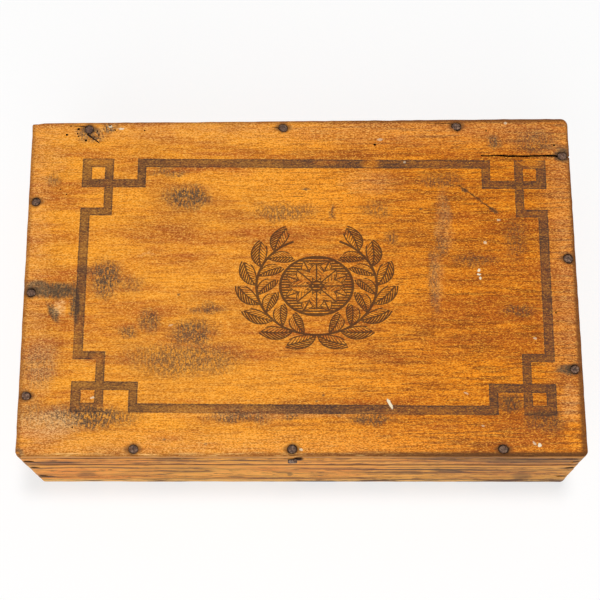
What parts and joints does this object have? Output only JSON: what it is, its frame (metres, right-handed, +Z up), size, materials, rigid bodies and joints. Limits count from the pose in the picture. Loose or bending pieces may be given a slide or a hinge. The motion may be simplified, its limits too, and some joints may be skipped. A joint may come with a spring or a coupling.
{
  "type": "hinged wooden box",
  "caption": "Shallow nailed wooden box whose framed lid swings on butt hinges at the back; varnished boards, a dark fret border on the lid and a round stud in its front edge.",
  "frame": {"origin": "middle of the footprint, on the surface that the box stands on", "axes": "+X to the right along the width, +Y to the back where the hinges are, +Z up"},
  "size_m": [0.3, 0.1955, 0.082],
  "materials": {
    "panel_wood": "worn honey varnish",
    "edge_wood": "worn honey varnish",
    "bottom_wood": "bare aged board",
    "nail_iron": "rusted wire nail",
    "hinge_iron": "dark rusted sheet iron"
  },
  "bodies": {
    "base": {"base_front": "edge_wood", "base_back": "edge_wood", "base_left_end": "edge_wood", "base_right_end": "edge_wood", "bottom_board": "bottom_wood", "bottom_nails": "nail_iron", "base_corner_nails": "nail_iron", "left_hinge_base_leaf": "hinge_iron", "right_hinge_base_leaf": "hinge_iron", "base_hinge_screws": "nail_iron", "left_hinge_pin": "hinge_iron", "right_hinge_pin": "hinge_iron"},
    "lid": {"lid_panel": "panel_wood", "lid_front_rail": "edge_wood", "lid_back_rail": "edge_wood", "lid_left_end": "edge_wood", "lid_right_end": "edge_wood", "lid_panel_nails": "nail_iron", "lid_corner_nails": "nail_iron", "lid_front_stud": "nail_iron", "left_hinge_lid_leaf": "hinge_iron", "right_hinge_lid_leaf": "hinge_iron", "lid_hinge_screws": "nail_iron"}
  },
  "joints": [
    {"name": "lid_hinge", "type": "hinge", "parent": "base", "child": "lid", "pos_m": [0, 0.0973, 0.057], "axis": [-1, 0, 0], "range_deg": [0, 180]}
  ]
}
